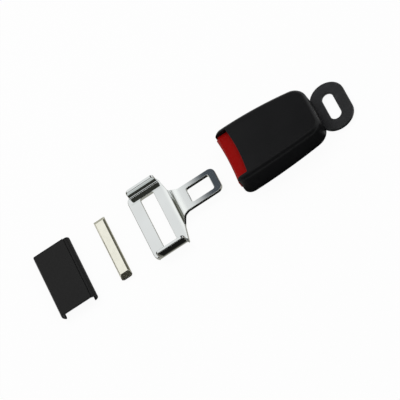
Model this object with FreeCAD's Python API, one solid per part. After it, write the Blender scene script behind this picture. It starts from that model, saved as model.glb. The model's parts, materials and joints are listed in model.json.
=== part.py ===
import FreeCAD, Part
import math
import os

# A two-point belt fastener taken apart along its own axis, as it would lie before assembly.
# From rear to front along +X: clip-on cover, webbing slide bar, chromed tongue plate, and the
# buckle with its red release button and slotted anchor lug. All lengths are millimetres.
# The origin is the middle of the whole row, on the surface that it lies on.

V = FreeCAD.Vector

# The row
gap_cover_to_bar = 21.6
gap_bar_to_tongue = 20.6
gap_tongue_to_buckle = 13.1

# Cover: a channel section, open below and at both ends
cover_length = 31.7
cover_width = 64.6
cover_height = 7.2
cover_wall = 1.6
cover_top_length = 27.5
cover_rear_round = 1.2
cover_waist_height = 4.4
cover_hook_reach = 2.2
cover_bead_low = 0.2
cover_bead_radius = 3.2
cover_bead_end = -100.0
cover_crease_depth = 1.1
cover_crease_inside = 120.0
cover_crease_lead = 0.4

# Slide bar: a half-round bar with a flat top and sloped ends
bar_length = 64.2
bar_width = 9.5
bar_height = 4.8
bar_flat_width = 6.4
bar_flat_length = 56.0
bar_shoulder_height = 2.7
bar_flank_bulge = 0.22
bar_end_face_high = 2.6
bar_end_face_low = 1.2
bar_end_undercut = 1.4

# Tongue plate
sheet = 2.6
tongue_length = 70.8
plate_width = 70.5
plate_corner_radius = 7.0
ear_start = 3.0
ear_end = 28.0
ear_height = 10.0
ear_bend_radius = 1.2
ear_corner_radius = 2.6
window_start = 9.8
window_length = 11.7
window_width = 53.5
window_corner_radius = 1.2
shoulder_start = 29.2
shoulder_slope = 2.0
shoulder_half_width = 22.4
shoulder_blunt = 2.0
neck_length = 8.8
neck_mid_x = 3.2
neck_mid_rise = 3.3
joggle_start = 32.6
joggle_outer_radius = 2.4
joggle_inner_radius = 1.2
tongue_width = 24.0
tip_rim = 5.8
tongue_hole_length = 19.8
tongue_hole_width = 15.1
tongue_hole_radius = 1.6
tongue_tip_radius = 5.0

# Heights in the buckle, from the floor up
floor_thickness = 1.2
frame_thickness = 1.8
tongue_lift = 0.5
tongue_headroom = 1.0
latch_headroom = 0.4
latch_thickness = 2.6
lock_play = 0.5
lock_pin_radius = 1.5
arm_rise = 3.0
button_crown_rise = 1.8
button_roof_gap = 1.3
wall = 1.8
housing_fall = 3.2

# Lengths in the buckle, from the mouth to the rear
insertion_depth = 30.9
contact_gap = 0.3
ejector_stroke = 10.0
nose_length = 4.2
latch_reach = 31.4
lock_pin_to_pivot = 8.0
arm_behind_pin = 2.3
button_spring_length = 9.7
carrier_depth = 3.0
tab_joggle_run = 2.2
lug_inset = 0.3
rivet_to_lug_end = 4.9
tab_past_rivet = 4.9
rear_room = 2.2

# Widths in the buckle, from the middle out
latch_nose_gap = 1.5
guide_side_gap = 0.4
frame_inner_width = 30.8
arm_side_gap = 0.6
arm_width = 2.6
latch_side_gap = 1.2
frame_side_room = 10.6
housing_taper = 9.6
cheek_width = 4.0
button_side_gap = 0.3

# Buckle housing
housing_side_bulge = 1.7
housing_rear_bulge = 0.8
housing_front_radius = 7.5
housing_rear_radius = 12.0
housing_crown = 1.1
housing_top_round = 3.6
housing_bottom_edge = 0.8
seam_reveal_height = 0.45
seam_reveal_depth = 0.35
lip_height = 1.3
lip_thickness = 0.9
fit_gap = 0.1
mouth_depth = 10.5
mouth_bulge = 1.5
sill_depth = 2.0
cheek_behind_button = 1.5
rib_start = 30.0
rib_end = 44.0
rib_thickness = 1.2
lip_end_gap = 1.4
lip_root = 1.2

# Frame, a folded steel channel
frame_bend_radius = 0.7
flange_over_pin = 0.7
frame_sill_gap = 0.2
flange_gap = 1.6
flange_corner_radius = 4.0
apron_side_gap = 0.6
apron_corner_radius = 1.5
tab_width = 24.0
tab_corner_radius = 3.0
latch_hole_gap = 2.0
latch_hole_side_gap = 0.75
latch_hole_radius = 1.0

# Anchor lug
lug_thickness = 2.2
lug_tuck = 2.6
lug_rim = 9.7
lug_end_rim = 10.4
lug_slot_width = 9.2
lug_slot_length = 26.6
lug_gap = 0.3
lug_neck_width = 24.0
lug_neck_radius = 3.0
lug_edge = 0.5
rivet_spacing = 13.0
rivet_radius = 2.0
rivet_head_radius = 3.5
rivet_head_height = 1.3
rivet_sink_radius = 3.2
rivet_sink_depth = 1.0
rivet_swell = 0.2
rivet_head_bevel = 0.8

# Tongue guide
guide_length = 45.0
guide_face_start = 0.7
guide_face_depth = 2.1
guide_bridge_start = 15.9
guide_bridge_depth = 3.4
guide_bridge_thickness = 1.2
guide_lead = 1.2

# Latch, shown open; it closes by turning about its pin
pivot_rise = 2.1
pivot_radius = 2.0
pivot_head_radius = 3.0
pivot_head_length = 1.0
pivot_tail = 0.6
lock_pin_inset = 0.2
seat_gap = 0.02
running_gap = 0.06
latch_open_angle = 10.0
latch_corner_radius = 3.0
nose_depth = 0.8
nose_bevel = 1.4
nose_neck = 7.4
latch_step_to_pivot = 10.8
latch_web_to_pivot = 5.0
latch_recess_depth = 1.4
knuckle_radius = 3.4
knuckle_width = 4.0

# Release button
button_depth = 15.4
button_dish = 1.2
button_strip = 2.5
button_strip_drop = 3.5
button_wall = 2.2
button_front_wall = 3.2
button_travel = 3.0
button_floor_gap = 0.3
arm_clearance_below = 0.7
lock_slot_gap = 0.35

# Ejector
ejector_fork_depth = 6.0
ejector_body_depth = 6.8
ejector_side_gap = 0.6
ejector_gap_below = 0.3
ejector_height = 3.4
prong_gap = 1.0
prong_width = 3.4

# Springs and their carrier
shelf_length = 9.5
shelf_thickness = 0.8
shelf_half_width = 7.0
ejector_spring_radius = 1.4
ejector_spring_turns = 8
button_spring_rise = 1.3
button_spring_radius = 1.2
button_spring_turns = 5
wire_radius = 0.3
coil_steps = 12
post_gap = 0.12
post_length = 2.4
leaf_thickness = 0.4
leaf_gap = 0.4
leaf_half_width = 4.0
leaf_reach = 20.0
leaf_bend_run = 5.0
leaf_toe = 2.0
leaf_toe_rise = 0.6
leaf_tip_rise = 0.12

# Screws, driven from below
screw_front_x = 20.5
screw_rear_inset = 13.0
screw_radius = 1.2
screw_head_radius = 2.0
screw_head_height = 1.2
screw_sink = 0.3
screw_length = 10.0
screw_cross_length = 2.6
screw_cross_width = 0.5
screw_cross_depth = 0.6
boss_radius = 2.6

# Longer than any cut has to reach
beyond = 80.0

# Heights that follow
frame_top = floor_thickness + frame_thickness
seam_height = frame_top
tongue_rise = frame_top + tongue_lift
channel_top = tongue_rise + sheet + tongue_headroom
latch_bottom = channel_top + latch_headroom
latch_top = latch_bottom + latch_thickness
pivot_height = latch_bottom + pivot_rise
lock_pin_height = latch_top + lock_play + lock_pin_radius
button_bottom = channel_top + button_floor_gap
arm_bottom = channel_top + guide_bridge_thickness + arm_clearance_below
arm_top = lock_pin_height + arm_rise
button_top = arm_top + button_crown_rise
housing_front_height = button_top + button_roof_gap + wall
housing_rear_height = housing_front_height - housing_fall
button_spring_height = lock_pin_height + button_spring_rise
carrier_top = button_spring_height + button_spring_radius
flange_top = lock_pin_height + lock_pin_radius + flange_over_pin
leaf_low = lock_pin_height + lock_pin_radius + leaf_gap
shelf_bottom = leaf_low + leaf_thickness
shelf_top = shelf_bottom + shelf_thickness
ejector_low = frame_top + ejector_gap_below
ejector_top = ejector_low + ejector_height
ejector_spring_height = (ejector_low + ejector_top) / 2
nose_bottom = frame_top - nose_depth
latch_recess_top = latch_top - latch_recess_depth

# Widths that follow
frame_outer_half = frame_inner_width / 2 + frame_thickness
housing_front_width = 2 * (frame_outer_half + frame_side_room)
housing_rear_width = housing_front_width - housing_taper
guide_half = housing_front_width / 2 - cheek_width
button_width = 2 * (guide_half - button_side_gap)
arm_outer = frame_inner_width / 2 - arm_side_gap
arm_inner = arm_outer - arm_width
button_spring_y = (arm_inner + arm_outer) / 2
latch_half_width = arm_inner - latch_side_gap
latch_nose_half_width = tongue_hole_width / 2 - latch_nose_gap
rail_inner = tongue_width / 2 + guide_side_gap
rail_outer = frame_inner_width / 2 - fit_gap
prong_inner = latch_nose_half_width + prong_gap
prong_outer = prong_inner + prong_width
ejector_half_width = rail_inner - ejector_side_gap
knuckle_inner = latch_half_width - knuckle_width
carrier_half_width = frame_inner_width / 2 - 2 * fit_gap
apron_half = frame_inner_width / 2 - apron_side_gap
latch_hole_half = latch_nose_half_width + latch_hole_side_gap
lug_radius = lug_slot_width / 2 + lug_rim
lug_arc_y = lug_slot_length / 2 + lug_end_rim - lug_radius
lug_at_wall = lug_tuck - housing_rear_bulge / 2
lug_notch_half = lug_arc_y + math.sqrt(lug_at_wall * (2 * lug_radius - lug_at_wall)) + lug_gap
screw_front_y = frame_outer_half + fit_gap + boss_radius
screw_rear_y = housing_rear_width / 2 - wall - fit_gap - boss_radius

# Lengths that follow
window_end = window_start + window_length
shoulder_end = shoulder_start + shoulder_slope
neck_end = shoulder_end + neck_length
tongue_hole_end = tongue_length - tip_rim
tongue_hole_start = tongue_hole_end - tongue_hole_length
ejector_front = insertion_depth - ejector_stroke + contact_gap
latch_front = insertion_depth - tip_rim - contact_gap - nose_length
nose_shoulder_x = latch_front + nose_neck
pivot_x = latch_front + latch_reach
latch_step_x = pivot_x - latch_step_to_pivot
latch_web_end = pivot_x - latch_web_to_pivot
leaf_tip_x = pivot_x - leaf_reach
lock_pin_x = pivot_x - lock_pin_to_pivot
arm_end = lock_pin_x + arm_behind_pin
carrier_start = arm_end + button_spring_length
carrier_end = carrier_start + carrier_depth
shelf_start = carrier_start - shelf_length
flange_start = button_depth + flange_gap
flange_end = carrier_start - fit_gap
guide_bridge_end = guide_bridge_start + guide_bridge_depth
tab_joggle_start = carrier_end + frame_thickness / 2
lug_start = tab_joggle_start + tab_joggle_run + lug_inset
rivet_x = lug_start + rivet_to_lug_end
tab_end = rivet_x + tab_past_rivet
buckle_length = tab_end + rear_room + wall
screw_rear_x = buckle_length - screw_rear_inset
frame_start = sill_depth + frame_sill_gap
lug_centre_x = buckle_length - lug_tuck + lug_radius
lug_end_x = lug_centre_x + lug_radius

# The row, from the cover's rear edge to the lug's end
overall_length = (cover_length + gap_cover_to_bar + bar_width + gap_bar_to_tongue
                  + tongue_length + gap_tongue_to_buckle + lug_end_x)
cover_x = -overall_length / 2
bar_x = cover_x + cover_length + gap_cover_to_bar + bar_width / 2
tongue_x = bar_x + bar_width / 2 + gap_bar_to_tongue
buckle_x = tongue_x + tongue_length + gap_tongue_to_buckle


def box(x0, x1, y0, y1, z0, z1):
    """A block between two corners."""
    return Part.makeBox(x1 - x0, y1 - y0, z1 - z0, V(x0, y0, z0))


def centred(x0, x1, half_width, z0, z1):
    """A block that spans the centre plane."""
    return box(x0, x1, -half_width, half_width, z0, z1)


def mirrored(shape):
    """The same piece on the other side of the centre plane."""
    return shape.mirror(V(0, 0, 0), V(0, 1, 0))


def both_sides(shape):
    """A piece and its twin, as a list."""
    return [shape, mirrored(shape)]


def fused(shapes):
    """One clean solid from pieces that meet."""
    joined = shapes[0].fuse(shapes[1:]) if len(shapes) > 1 else shapes[0]
    return joined.removeSplitter()


def closed_face(edges):
    """A flat face inside edges that follow one another."""
    return Part.Face(Part.Wire(edges))


def polygon(points):
    """A flat face through corner points."""
    return Part.Face(Part.makePolygon(points + [points[0]]))


def arc(start, middle, end):
    """A circular edge through three points."""
    return Part.Arc(start, middle, end).toShape()


def line(start, end):
    """A straight edge."""
    return Part.LineSegment(start, end).toShape()


def cylinder_y(radius, y0, y1, x, z):
    """A round bar along Y."""
    return Part.makeCylinder(radius, y1 - y0, V(x, y0, z), V(0, 1, 0))


def cylinder_x(radius, x0, x1, y, z):
    """A round bar along X."""
    return Part.makeCylinder(radius, x1 - x0, V(x0, y, z), V(1, 0, 0))


def cylinder_z(radius, z0, z1, x, y):
    """A round bar along Z."""
    return Part.makeCylinder(radius, z1 - z0, V(x, y, z0), V(0, 0, 1))


def edges_along(shape, axis, accept):
    """Straight edges parallel to an axis whose centre the test accepts."""
    found = []
    for edge in shape.Edges:
        if edge.Curve.TypeId != "Part::GeomLine":
            continue
        run = edge.tangentAt(edge.FirstParameter)
        if abs(run.dot(axis)) > 0.999 and accept(edge.CenterOfMass):
            found.append(edge)
    return found


def edges_where(shape, accept):
    """Edges whose whole box the test accepts."""
    return [edge for edge in shape.Edges if accept(edge.BoundBox)]


def bowed(start, end, centre, radius):
    """A circular edge about a centre, by the short way round."""
    middle = (start + end) * 0.5 - centre
    return arc(start, centre + middle * (radius / middle.Length), end)


def make_cover():
    """Channel section run along Y: hooked rear wall, flat top, half-round bead in front."""
    half = cover_width / 2
    top = cover_height
    under = cover_height - cover_wall
    bead = V(cover_length - cover_bead_radius, -half, cover_bead_low + cover_bead_radius)
    bead_inner = cover_bead_radius - cover_wall
    crease_angle = math.asin((top - cover_crease_depth - bead.z) / cover_bead_radius)

    def at(x, z):
        return V(x, -half, z)

    def on_bead(radius, degrees):
        angle = math.radians(degrees)
        return bead + V(math.cos(angle), 0, math.sin(angle)) * radius

    # The rear wall is two arcs that stand upright at the waist
    waist = at(0, cover_waist_height)
    rise = top - cover_waist_height
    low_radius = (cover_hook_reach ** 2 + cover_waist_height ** 2) / (2 * cover_hook_reach)
    high_radius = (cover_rear_round ** 2 + rise ** 2) / (2 * cover_rear_round)
    low_centre = at(low_radius, cover_waist_height)
    high_centre = at(high_radius, cover_waist_height)
    foot = at(cover_hook_reach, 0)
    foot_inner = low_centre + (foot - low_centre) * ((low_radius - cover_wall) / low_radius)
    waist_inner = at(cover_wall, cover_waist_height)
    high_inner = high_radius - cover_wall
    corner_inner = at(high_radius - math.sqrt(high_inner ** 2 - (under - cover_waist_height) ** 2),
                      under)
    crease = on_bead(cover_bead_radius, 180 - math.degrees(crease_angle))
    crease_inner = on_bead(bead_inner, cover_crease_inside)
    lead_in = at(cover_top_length - cover_crease_lead, under)
    edges = [
        bowed(foot, waist, low_centre, low_radius),
        bowed(waist, at(cover_rear_round, top), high_centre, high_radius),
        line(at(cover_rear_round, top), at(cover_top_length, top)),
        line(at(cover_top_length, top), crease),
        arc(crease, on_bead(cover_bead_radius, 0), on_bead(cover_bead_radius, cover_bead_end)),
        line(on_bead(cover_bead_radius, cover_bead_end), on_bead(bead_inner, cover_bead_end)),
        arc(on_bead(bead_inner, cover_bead_end), on_bead(bead_inner, 0), crease_inner),
        line(crease_inner, lead_in),
        line(lead_in, corner_inner),
        bowed(corner_inner, waist_inner, high_centre, high_inner),
        bowed(waist_inner, foot_inner, low_centre, low_radius - cover_wall),
        line(foot_inner, foot),
    ]
    return closed_face(edges).extrude(V(0, cover_width, 0))


def make_slide_bar():
    """Half-round bar: flat top, bulging flanks, ends sloped from the flat to the full length."""
    half = bar_width / 2
    flat = bar_flat_width / 2
    end = bar_length / 2
    flat_end = bar_flat_length / 2
    flank_x = (half + flat) / 2 + bar_flank_bulge
    flank_z = (bar_height + bar_shoulder_height) / 2 + bar_flank_bulge

    def at(x, z):
        return V(x, -end, z)

    section = closed_face([
        line(at(-flat, bar_height), at(flat, bar_height)),
        arc(at(flat, bar_height), at(flank_x, flank_z), at(half, bar_shoulder_height)),
        arc(at(half, bar_shoulder_height), at(0, 0), at(-half, bar_shoulder_height)),
        arc(at(-half, bar_shoulder_height), at(-flank_x, flank_z), at(-flat, bar_height)),
    ])
    one_end = [(flat_end, bar_height), (end, bar_end_face_high), (end, bar_end_face_low),
               (end - bar_end_undercut, 0)]
    outline = [(-y, z) for y, z in one_end] + one_end[::-1]
    side = polygon([V(-half, y, z) for y, z in outline]).extrude(V(bar_width, 0, 0))
    return section.extrude(V(0, bar_length, 0)).common(side)


def tongue_outline():
    """Plan of the tongue plate, from the rear edge to the tip, both sides."""
    half = plate_width / 2
    slim = tongue_width / 2

    def corner(start, end, centre, radius):
        middle = (start + end) * 0.5 - centre
        return start, centre + middle * (radius / middle.Length), end

    rear, blunt, tip = plate_corner_radius, shoulder_blunt, tongue_tip_radius
    one_side = [
        corner(V(0, half - rear, 0), V(rear, half, 0), V(rear, half - rear, 0), rear),
        (V(rear, half, 0), None, V(shoulder_start - blunt, half, 0)),
        corner(V(shoulder_start - blunt, half, 0), V(shoulder_start, half - blunt, 0),
               V(shoulder_start - blunt, half - blunt, 0), blunt),
        (V(shoulder_start, half - blunt, 0), None, V(shoulder_end, shoulder_half_width, 0)),
        (V(shoulder_end, shoulder_half_width, 0),
         V(shoulder_end + neck_mid_x, slim + neck_mid_rise, 0), V(neck_end, slim, 0)),
        (V(neck_end, slim, 0), None, V(tongue_length - tip, slim, 0)),
        corner(V(tongue_length - tip, slim, 0), V(tongue_length, slim - tip, 0),
               V(tongue_length - tip, slim - tip, 0), tip),
    ]
    edges = []
    for start, middle, end in one_side:
        for side in (1, -1):
            a, b = V(start.x, side * start.y, 0), V(end.x, side * end.y, 0)
            if middle is None:
                edges.append(line(a, b))
            else:
                edges.append(arc(a, V(middle.x, side * middle.y, 0), b))
    edges.append(line(V(0, half - rear, 0), V(0, rear - half, 0)))
    edges.append(line(V(tongue_length, slim - tip, 0), V(tongue_length, tip - slim, 0)))
    return closed_face(Part.__sortEdges__(edges))


def rounded_slot(x0, x1, half_width, radius, z0, z1):
    """A through cut with rounded corners."""
    cut = centred(x0, x1, half_width, z0, z1)
    return cut.makeFillet(radius, edges_along(cut, V(0, 0, 1), lambda c: True))


def make_ear():
    """One upturned ear with its bend, on the +Y side."""
    half = plate_width / 2
    bend = ear_bend_radius + sheet
    root = half - bend
    x = ear_start
    centre = V(x, root, bend)
    inner_foot, inner_top = V(x, root, sheet), V(x, half - sheet, bend)
    outer_foot, outer_top = V(x, root, 0), V(x, half, bend)
    section = closed_face([
        line(V(x, root - sheet, 0), outer_foot),
        bowed(outer_foot, outer_top, centre, bend),
        line(outer_top, V(x, half, ear_height)),
        line(V(x, half, ear_height), V(x, half - sheet, ear_height)),
        line(V(x, half - sheet, ear_height), inner_top),
        bowed(inner_top, inner_foot, centre, ear_bend_radius),
        line(inner_foot, V(x, root - sheet, sheet)),
        line(V(x, root - sheet, sheet), V(x, root - sheet, 0)),
    ])
    ear = section.extrude(V(ear_end - ear_start, 0, 0))
    return ear.makeFillet(ear_corner_radius, edges_along(
        ear, V(0, 1, 0), lambda c: c.z > ear_height - 0.1))


def make_tongue_plate():
    """Pressed plate: webbing window, two upturned ears, joggle, and the latching tongue."""
    half = plate_width / 2
    lean = sheet * math.tan(math.pi / 8)
    ramp_end = joggle_start + tongue_rise
    high = tongue_rise + sheet
    plate = polygon([V(x, -half, z) for x, z in (
        (0, 0), (joggle_start, 0), (ramp_end, tongue_rise), (tongue_length, tongue_rise),
        (tongue_length, high), (ramp_end - lean, high), (joggle_start - lean, sheet), (0, sheet),
    )]).extrude(V(0, plate_width, 0))

    def bends(corners):
        return edges_along(plate, V(0, 1, 0), lambda c: any(
            abs(c.x - x) < 0.1 and abs(c.z - z) < 0.1 for x, z in corners))

    plate = plate.makeFillet(joggle_outer_radius,
                             bends([(joggle_start, 0), (ramp_end - lean, high)]))
    plate = plate.makeFillet(joggle_inner_radius,
                             bends([(ramp_end, tongue_rise), (joggle_start - lean, sheet)]))
    flat_under_ear = box(ear_start, ear_end, half - ear_bend_radius - sheet, half + sheet,
                         -sheet, 2 * sheet)
    for ear, flat in zip(both_sides(make_ear()), both_sides(flat_under_ear)):
        plate = plate.cut(flat).fuse(ear)
    plan = tongue_outline().extrude(V(0, 0, ear_height + 2 * sheet))
    plan.translate(V(0, 0, -sheet))
    plate = plate.common(plan)
    window = rounded_slot(window_start, window_end, window_width / 2,
                          window_corner_radius, -sheet, ear_height)
    hole = rounded_slot(tongue_hole_start, tongue_hole_end, tongue_hole_width / 2,
                        tongue_hole_radius, 0, ear_height + tongue_rise)
    return plate.cut(window).cut(hole).removeSplitter()


def housing_prism(inset, z0, z1):
    """The housing's plan, every side moved in by the same amount, between two heights."""
    front = housing_front_width / 2 - inset
    rear = housing_rear_width / 2 - inset
    length = buckle_length
    side_mid = V(length / 2, (front + rear) / 2 + housing_side_bulge, z0)
    rear_edge = length - housing_rear_bulge - inset
    block = closed_face([
        line(V(inset, -front, z0), V(inset, front, z0)),
        arc(V(inset, front, z0), side_mid, V(rear_edge, rear, z0)),
        arc(V(rear_edge, rear, z0), V(length - inset, 0, z0), V(rear_edge, -rear, z0)),
        arc(V(rear_edge, -rear, z0), V(side_mid.x, -side_mid.y, z0), V(inset, -front, z0)),
    ]).extrude(V(0, 0, z1 - z0))
    uprights = edges_along(block, V(0, 0, 1), lambda c: c.x < length / 2)
    block = block.makeFillet(housing_front_radius - inset, uprights)
    uprights = edges_along(block, V(0, 0, 1), lambda c: c.x > length * 0.9)
    return block.makeFillet(housing_rear_radius - inset, uprights)


def roof_height(x):
    """Height of the roof's crowned line above a place along the buckle."""
    share = x / buckle_length
    straight = housing_front_height - housing_fall * share
    return straight + 4 * housing_crown * share * (1 - share)


def housing_form(inset, from_height):
    """The housing's upright form under its crowned roof, moved in all round."""
    half = housing_front_width
    before, after = -wall, buckle_length + wall
    middle = buckle_length / 2

    def at(x, z):
        return V(x, -half, z)

    roof = closed_face([
        line(at(before, -wall), at(before, roof_height(before) - inset)),
        arc(at(before, roof_height(before) - inset), at(middle, roof_height(middle) - inset),
            at(after, roof_height(after) - inset)),
        line(at(after, roof_height(after) - inset), at(after, -wall)),
        line(at(after, -wall), at(before, -wall)),
    ]).extrude(V(0, 2 * half, 0))
    return housing_prism(inset, from_height, 2 * housing_front_height).common(roof)


def rounded_roof(form):
    """The form with its roof's rim rounded."""
    rim = edges_where(form, lambda b: b.ZMin > housing_rear_height / 2)
    return form.makeFillet(housing_top_round, rim)


def mouth_cut():
    """The scooped opening over the button; its rear edge bulges towards the rear."""
    low, high = seam_height - wall, beyond
    face = closed_face([
        line(V(-wall, -guide_half, low), V(mouth_depth, -guide_half, low)),
        arc(V(mouth_depth, -guide_half, low), V(mouth_depth + mouth_bulge, 0, low),
            V(mouth_depth, guide_half, low)),
        line(V(mouth_depth, guide_half, low), V(-wall, guide_half, low)),
        line(V(-wall, guide_half, low), V(-wall, -guide_half, low)),
    ])
    return face.extrude(V(0, 0, high - low))


def screw_places():
    """Centres of the four screws."""
    return [(x, side * y) for x, y in ((screw_front_x, screw_front_y), (screw_rear_x, screw_rear_y))
            for side in (1, -1)]


def lug_notch():
    """The way out for the lug through the rear walls."""
    return centred(buckle_length - lug_tuck - lug_gap, beyond + buckle_length, lug_notch_half,
                   floor_thickness, floor_thickness + lug_thickness + lug_gap)


def make_upper_shell(form, space):
    """Top casing: thin walls, mouth, button guides beside it, and four screw bosses."""
    cavity = space.common(centred(0, buckle_length, beyond, seam_height - wall, beyond))
    for cheek in both_sides(box(-wall, button_depth + cheek_behind_button, guide_half, beyond,
                                0, beyond)):
        cavity = cavity.cut(cheek)
    for x, y in screw_places():
        cavity = cavity.cut(cylinder_z(boss_radius, 0, beyond, x, y))
    shell = form.common(centred(-beyond, 2 * beyond, beyond, seam_height, beyond))
    shell = shell.cut(mouth_cut()).cut(cavity).cut(lug_notch())
    pilot_top = screw_sink + screw_head_height + screw_length + fit_gap
    for x, y in screw_places():
        shell = shell.cut(cylinder_z(screw_radius + seat_gap, 0, pilot_top, x, y))
    return shell


def make_lower_shell(form, space):
    """Shallow tray: floor, rim with a locating lip, sill under the mouth, screw pillars."""
    outer = form.common(centred(-beyond, 2 * beyond, beyond, -wall, seam_height))
    outer = outer.makeChamfer(housing_bottom_edge, edges_where(outer, lambda b: b.ZMax < 0.01))
    inner = space.common(centred(sill_depth, 2 * beyond, beyond, floor_thickness, beyond))
    tray = outer.cut(inner)
    reveal_low = seam_height - seam_reveal_height
    reveal = housing_prism(-wall, reveal_low, seam_height + wall)
    tray = tray.cut(reveal.cut(housing_prism(seam_reveal_depth, 0, seam_height + 2 * wall)))
    lip_inset = wall + 2 * fit_gap
    lip_top = seam_height + lip_height
    lip_bottom = seam_height - lip_root
    lip = housing_prism(lip_inset, lip_bottom, lip_top)
    root = housing_prism(wall - fit_gap, lip_bottom, seam_height)
    lip = lip.fuse(root).cut(housing_prism(lip_inset + lip_thickness, 0, lip_top + wall))
    lip = lip.common(centred(screw_front_x + boss_radius + lip_end_gap,
                             screw_rear_x - boss_radius - lip_end_gap, beyond, 0, beyond))
    rib_y = frame_outer_half + fit_gap
    rib = box(rib_start, rib_end, rib_y, rib_y + rib_thickness, floor_thickness / 2,
              seam_height - fit_gap)
    pillars = [cylinder_z(boss_radius, floor_thickness / 2, seam_height, x, y)
               for x, y in screw_places()]
    tray = fused([tray, lip] + both_sides(rib) + pillars)
    for x, y in screw_places():
        tray = tray.cut(cylinder_z(screw_radius + fit_gap, -wall, seam_height + wall, x, y))
        tray = tray.cut(cylinder_z(screw_head_radius + fit_gap, -wall,
                                   screw_sink + screw_head_height, x, y))
    return tray.cut(lug_notch()).removeSplitter()


def make_shell_screws():
    """Four pan-head screws, as one group."""
    screws = []
    top = screw_sink + screw_head_height
    long, short = screw_cross_length / 2, screw_cross_width / 2
    for x, y in screw_places():
        head = cylinder_z(screw_head_radius, screw_sink, top, x, y)
        shank = cylinder_z(screw_radius, top, top + screw_length, x, y)
        cross = fused([centred(-long, long, short, 0, screw_cross_depth),
                       centred(-short, short, long, 0, screw_cross_depth)])
        cross.translate(V(x, y, screw_sink))
        screws.append(head.fuse(shank).removeSplitter().cut(cross))
    return Part.makeCompound(screws)


def make_base_plate():
    """Folded steel channel with a joggled tail for the lug."""
    inner = frame_inner_width / 2
    outer = frame_outer_half
    bend = frame_bend_radius + frame_thickness
    low, high = floor_thickness, frame_top
    x = flange_start
    edges = [line(V(x, bend - outer, low), V(x, outer - bend, low)),
             line(V(x, bend - outer, high), V(x, outer - bend, high))]
    for side in (1, -1):
        def at(y, z, side=side):
            return V(x, side * y, z)
        centre = at(outer - bend, low + bend)
        edges += [
            bowed(at(outer - bend, low), at(outer, low + bend), centre, bend),
            line(at(outer, low + bend), at(outer, flange_top)),
            line(at(outer, flange_top), at(inner, flange_top)),
            line(at(inner, flange_top), at(inner, low + bend)),
            bowed(at(inner, low + bend), at(outer - bend, high), centre, frame_bend_radius),
        ]
    channel = closed_face(Part.__sortEdges__(edges)).extrude(V(flange_end - x, 0, 0))
    channel = channel.makeFillet(flange_corner_radius, edges_along(
        channel, V(0, 1, 0), lambda c: c.z > flange_top - 0.1))
    apron = centred(frame_start, flange_start + frame_thickness, apron_half, low, high)
    apron = apron.makeFillet(apron_corner_radius, edges_along(
        apron, V(0, 0, 1), lambda c: c.x < frame_start + 0.1))
    lean = frame_thickness * math.tan(math.atan2(lug_thickness, tab_joggle_run) / 2)
    joggle_end = tab_joggle_start + tab_joggle_run
    tail_start = flange_end - frame_thickness
    tail = polygon([V(x, -tab_width / 2, z) for x, z in (
        (tail_start, low), (tab_joggle_start, low), (joggle_end, low + lug_thickness),
        (tab_end, low + lug_thickness), (tab_end, high + lug_thickness),
        (joggle_end - lean, high + lug_thickness), (tab_joggle_start - lean, high),
        (tail_start, high),
    )]).extrude(V(0, tab_width, 0))
    tail = tail.makeFillet(tab_corner_radius, edges_along(
        tail, V(0, 0, 1), lambda c: c.x > tab_end - 0.1))
    plate = fused([channel, apron, tail])
    plate = plate.cut(rounded_slot(latch_front - latch_hole_gap,
                                   latch_front + nose_length + latch_hole_gap, latch_hole_half,
                                   latch_hole_radius, 0, high + wall))
    plate = plate.cut(cylinder_y(pivot_radius + seat_gap, -beyond, beyond, pivot_x, pivot_height))
    slot_radius = lock_pin_radius + lock_slot_gap
    slot_start = lock_pin_x - button_travel
    slot = fused([
        cylinder_y(slot_radius, -beyond, beyond, lock_pin_x, lock_pin_height),
        cylinder_y(slot_radius, -beyond, beyond, slot_start, lock_pin_height),
        box(slot_start, lock_pin_x, -beyond, beyond,
            lock_pin_height - slot_radius, lock_pin_height + slot_radius),
    ])
    plate = plate.cut(slot)
    for y in (rivet_spacing / 2, -rivet_spacing / 2):
        plate = plate.cut(cylinder_z(rivet_radius + seat_gap, 0, flange_top, rivet_x, y))
    return plate.removeSplitter()


def stadium(half_width, arc_y, z0, z1):
    """A round-ended block across the belt, about the lug's centre."""
    return fused([
        cylinder_z(half_width, z0, z1, lug_centre_x, arc_y),
        cylinder_z(half_width, z0, z1, lug_centre_x, -arc_y),
        centred(lug_centre_x - half_width, lug_centre_x + half_width, arc_y, z0, z1),
    ])


def make_anchor_lug():
    """Oval plate with a long slot, and the neck that is riveted under the frame's tail."""
    low = floor_thickness
    high = low + lug_thickness
    neck = centred(lug_start, lug_centre_x - lug_radius + lug_tuck, lug_neck_width / 2, low, high)
    neck = neck.makeFillet(lug_neck_radius, edges_along(
        neck, V(0, 0, 1), lambda c: c.x < lug_start + 0.1))
    plate = fused([stadium(lug_radius, lug_arc_y, low, high), neck])
    plate = plate.cut(stadium(lug_slot_width / 2, (lug_slot_length - lug_slot_width) / 2,
                              0, 2 * high))
    rims = edges_where(plate, lambda b: b.ZMax - b.ZMin < 0.01 and b.XMax > buckle_length
                       and b.XMin > buckle_length - lug_tuck - lug_gap)
    plate = plate.makeChamfer(lug_edge, rims)
    for y in (rivet_spacing / 2, -rivet_spacing / 2):
        plate = plate.cut(cylinder_z(rivet_radius + seat_gap, 0, 2 * high, rivet_x, y))
        plate = plate.cut(Part.makeCone(rivet_sink_radius + seat_gap, rivet_radius + seat_gap,
                                        rivet_sink_depth, V(rivet_x, y, low)))
    return plate.removeSplitter()


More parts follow.
